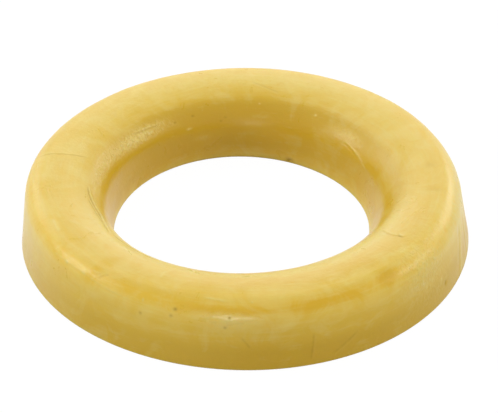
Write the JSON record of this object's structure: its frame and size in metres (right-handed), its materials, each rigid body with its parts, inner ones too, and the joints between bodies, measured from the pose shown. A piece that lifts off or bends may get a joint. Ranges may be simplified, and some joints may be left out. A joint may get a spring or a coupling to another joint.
{
  "type": "toilet pan seal",
  "caption": "Plain poured wax ring that seals a toilet pan's outlet to the waste pipe, with a crowned top, a wide roll into a drafted bore and a flat base.",
  "frame": {"origin": "centre of the flat base, on the ring's axis", "axes": "+Z along the ring's axis, from the flat base up to the crown; X and Y lie in the base"},
  "size_m": [0.13, 0.13, 0.0196],
  "materials": {
    "wax": "soft petroleum wax, satin, slightly see-through, with hand marks"
  },
  "bodies": {
    "root": {"wax_ring": "wax"}
  },
  "joints": []
}
